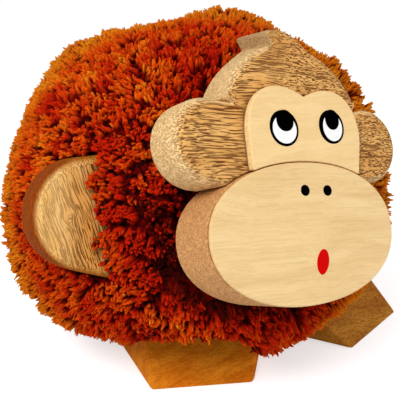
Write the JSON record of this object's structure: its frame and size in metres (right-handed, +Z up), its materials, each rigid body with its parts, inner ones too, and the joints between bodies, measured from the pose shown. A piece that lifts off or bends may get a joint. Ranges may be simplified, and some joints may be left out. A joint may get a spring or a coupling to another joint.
{
  "type": "wooden monkey figure",
  "caption": "Squat monkey figure of sawn wood with a pale two-brow face, an oval muzzle and block feet, its round body covered in cut yarn pile.",
  "frame": {"origin": "on the table, in the plane of the soles, under the middle of the round body", "axes": "+Z up, -Y the way the monkey faces, +X to the right of someone who looks at its face"},
  "size_m": [0.1751, 0.182, 0.1405],
  "materials": {
    "core_wood": "plain",
    "yarn": "cut pile",
    "head_wood": "oiled",
    "pale_wood": "satin",
    "muzzle_wood": "oiled",
    "arm_wood": "oiled",
    "foot_wood": "oiled",
    "dowel_wood": "plain"
  },
  "bodies": {
    "body": {"body_core": "core_wood", "yarn_pile": "yarn", "arm_right": "arm_wood", "arm_left": "arm_wood", "arm_dowel_right": "dowel_wood", "arm_dowel_left": "dowel_wood", "foot_right": "foot_wood", "foot_left": "foot_wood", "foot_dowel_right": "dowel_wood", "foot_dowel_left": "dowel_wood"},
    "head": {"head_block": "head_wood", "face_plate": "pale_wood", "muzzle_block": "muzzle_wood", "muzzle_plate": "pale_wood", "neck_peg": "dowel_wood", "muzzle_dowel_right": "dowel_wood", "muzzle_dowel_left": "dowel_wood"}
  },
  "joints": [
    {"name": "head_tilt", "type": "hinge", "parent": "body", "child": "head", "pos_m": [0.0018, -0.0741, 0.1039], "axis": [0.1446, -0.9132, 0.3811], "range_deg": [-30, 30]}
  ]
}
